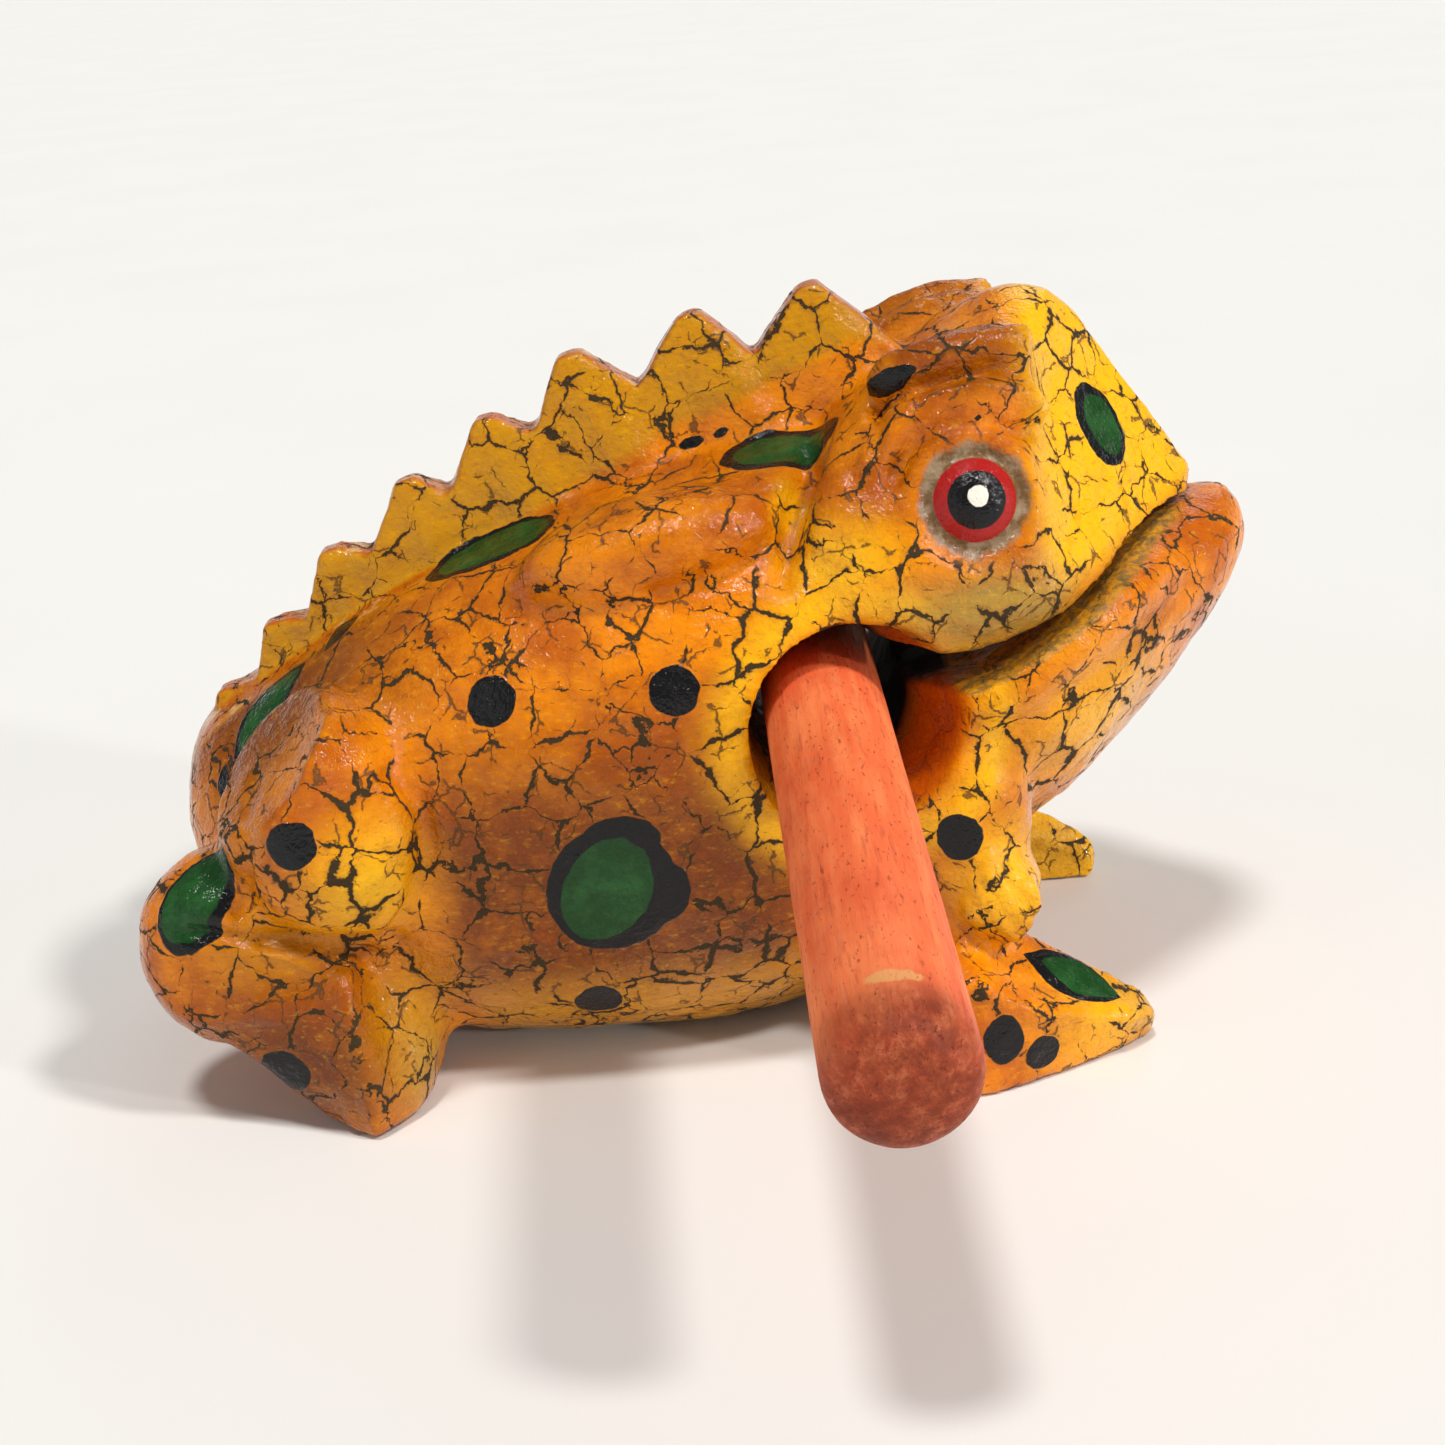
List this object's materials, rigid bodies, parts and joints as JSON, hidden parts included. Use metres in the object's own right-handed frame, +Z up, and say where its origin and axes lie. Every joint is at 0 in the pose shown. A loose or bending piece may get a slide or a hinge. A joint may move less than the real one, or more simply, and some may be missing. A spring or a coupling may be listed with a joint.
{
  "type": "guiro",
  "caption": "Small carved wooden frog guiro with a toothed spine, a sawn mouth and a cross bore that stores its round scraper stick.",
  "frame": {"origin": "middle of the frog's flat base, on its middle plane", "axes": "+X out of the nose, +Y to the frog's left, +Z up"},
  "size_m": [0.0992, 0.1075, 0.0661],
  "materials": {
    "painted_wood": "crackled amber paint under gloss varnish, with painted spots and eyes",
    "stained_stick": "matt red-orange stained wood, worn at the playing end"
  },
  "bodies": {
    "frog": {"frog_body": "painted_wood"},
    "stick": {"scraper_stick": "stained_stick"}
  },
  "joints": [
    {"name": "stick_slide", "type": "slide", "parent": "frog", "child": "stick", "axis": [0.0137, -0.9988, -0.0469], "range_m": [-0.105, 0.06]}
  ]
}
